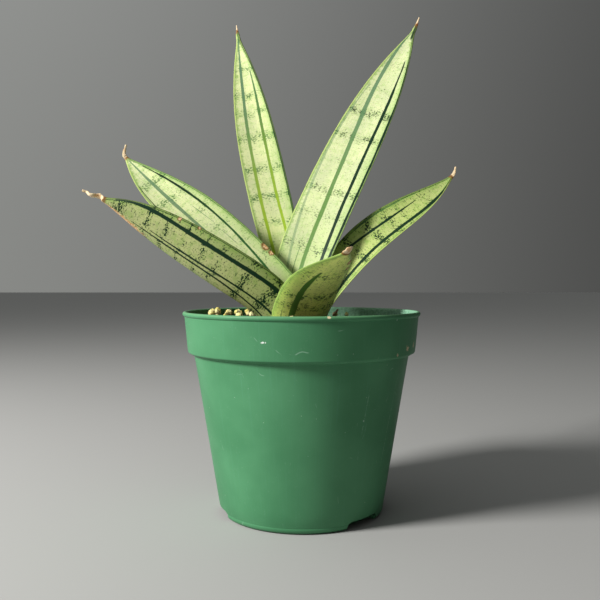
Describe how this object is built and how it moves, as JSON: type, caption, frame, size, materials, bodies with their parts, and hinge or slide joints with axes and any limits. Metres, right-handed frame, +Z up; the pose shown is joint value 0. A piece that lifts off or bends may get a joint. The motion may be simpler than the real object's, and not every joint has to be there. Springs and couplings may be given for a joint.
{
  "type": "potted snake plant",
  "caption": "Snake plant with pale green channelled leaves, darker stripes and dried tips, standing in a round tapered nursery pot with a collar and drain notches.",
  "frame": {"origin": "on the pot's axis, in the plane of its flat underside", "axes": "+Z up along the pot's axis, -Y towards the side the short leaf leans to, +X towards the side of the single right-hand leaf"},
  "size_m": [0.1583, 0.1125, 0.228],
  "materials": {
    "pot": "satin",
    "soil": "matte",
    "stock": "matte",
    "leaf": "satin",
    "pumice": "matte",
    "bark": "matte"
  },
  "bodies": {
    "root": {"nursery_pot": "pot", "potting_mix": "soil", "rootstock": "stock", "leaf_front_short": "leaf", "leaf_left_low": "leaf", "leaf_left_high": "leaf", "leaf_tall_narrow": "leaf", "leaf_tall_broad": "leaf", "leaf_right": "leaf", "bark_chip_1": "bark", "bark_chip_2": "bark", "bark_chip_3": "bark", "pumice_grain_01": "pumice", "pumice_grain_02": "pumice", "pumice_grain_03": "pumice", "pumice_grain_04": "pumice", "pumice_grain_05": "pumice", "pumice_grain_06": "pumice", "pumice_grain_07": "pumice", "pumice_grain_08": "pumice", "pumice_grain_09": "pumice", "pumice_grain_10": "pumice", "pumice_grain_11": "pumice", "pumice_grain_12": "pumice", "pumice_grain_13": "pumice", "pumice_grain_14": "pumice", "pumice_grain_15": "pumice", "pumice_grain_16": "pumice", "pumice_grain_17": "pumice", "pumice_grain_18": "pumice", "pumice_grain_19": "pumice", "pumice_grain_20": "pumice", "pumice_grain_21": "pumice", "pumice_grain_22": "pumice", "pumice_grain_23": "pumice", "pumice_grain_24": "pumice"}
  },
  "joints": []
}
